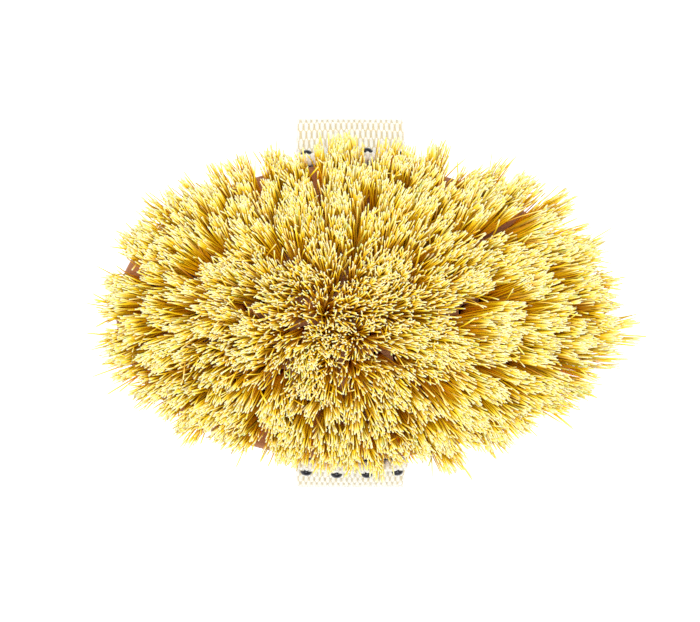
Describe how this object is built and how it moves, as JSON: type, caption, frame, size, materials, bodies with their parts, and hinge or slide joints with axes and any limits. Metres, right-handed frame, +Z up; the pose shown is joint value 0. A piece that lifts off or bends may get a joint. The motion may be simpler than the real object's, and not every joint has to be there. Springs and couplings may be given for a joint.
{
  "type": "body dry brush",
  "caption": "Oval wooden body brush with rows of stiff plant-fibre tufts, lying bristles up on its webbing hand strap.",
  "frame": {"origin": "on the underside of the hand strap's crown, straight below the middle of the block", "axes": "+X along the block, +Y across it towards the side where the strap bulges more, +Z up towards the bristle tips"},
  "size_m": [0.1386, 0.1045, 0.0812],
  "materials": {
    "wood": "oiled pinkish-brown hardwood, sanded smooth",
    "bristle": "natural plant fibre, amber at the root and cream at the cut tips",
    "webbing": "undyed woven cotton webbing",
    "blued_steel": "blued steel"
  },
  "bodies": {
    "brush": {"block": "wood", "bristle_row_1": "bristle", "bristle_row_2": "bristle", "bristle_row_3": "bristle", "bristle_row_4": "bristle", "bristle_row_5": "bristle", "bristle_row_6": "bristle", "tack_front_1": "blued_steel", "tack_front_2": "blued_steel", "tack_front_3": "blued_steel", "tack_front_4": "blued_steel", "tack_back_1": "blued_steel", "tack_back_2": "blued_steel", "tack_back_3": "blued_steel", "tack_back_4": "blued_steel"},
    "strap": {"hand_strap": "webbing"}
  },
  "joints": [
    {"name": "strap_press", "type": "slide", "parent": "brush", "child": "strap", "axis": [0, 0, 1], "range_m": [0, 0.026], "stiffness_N_per_m": 200, "springref_m": -0.012, "deforming": ["hand_strap"]}
  ]
}
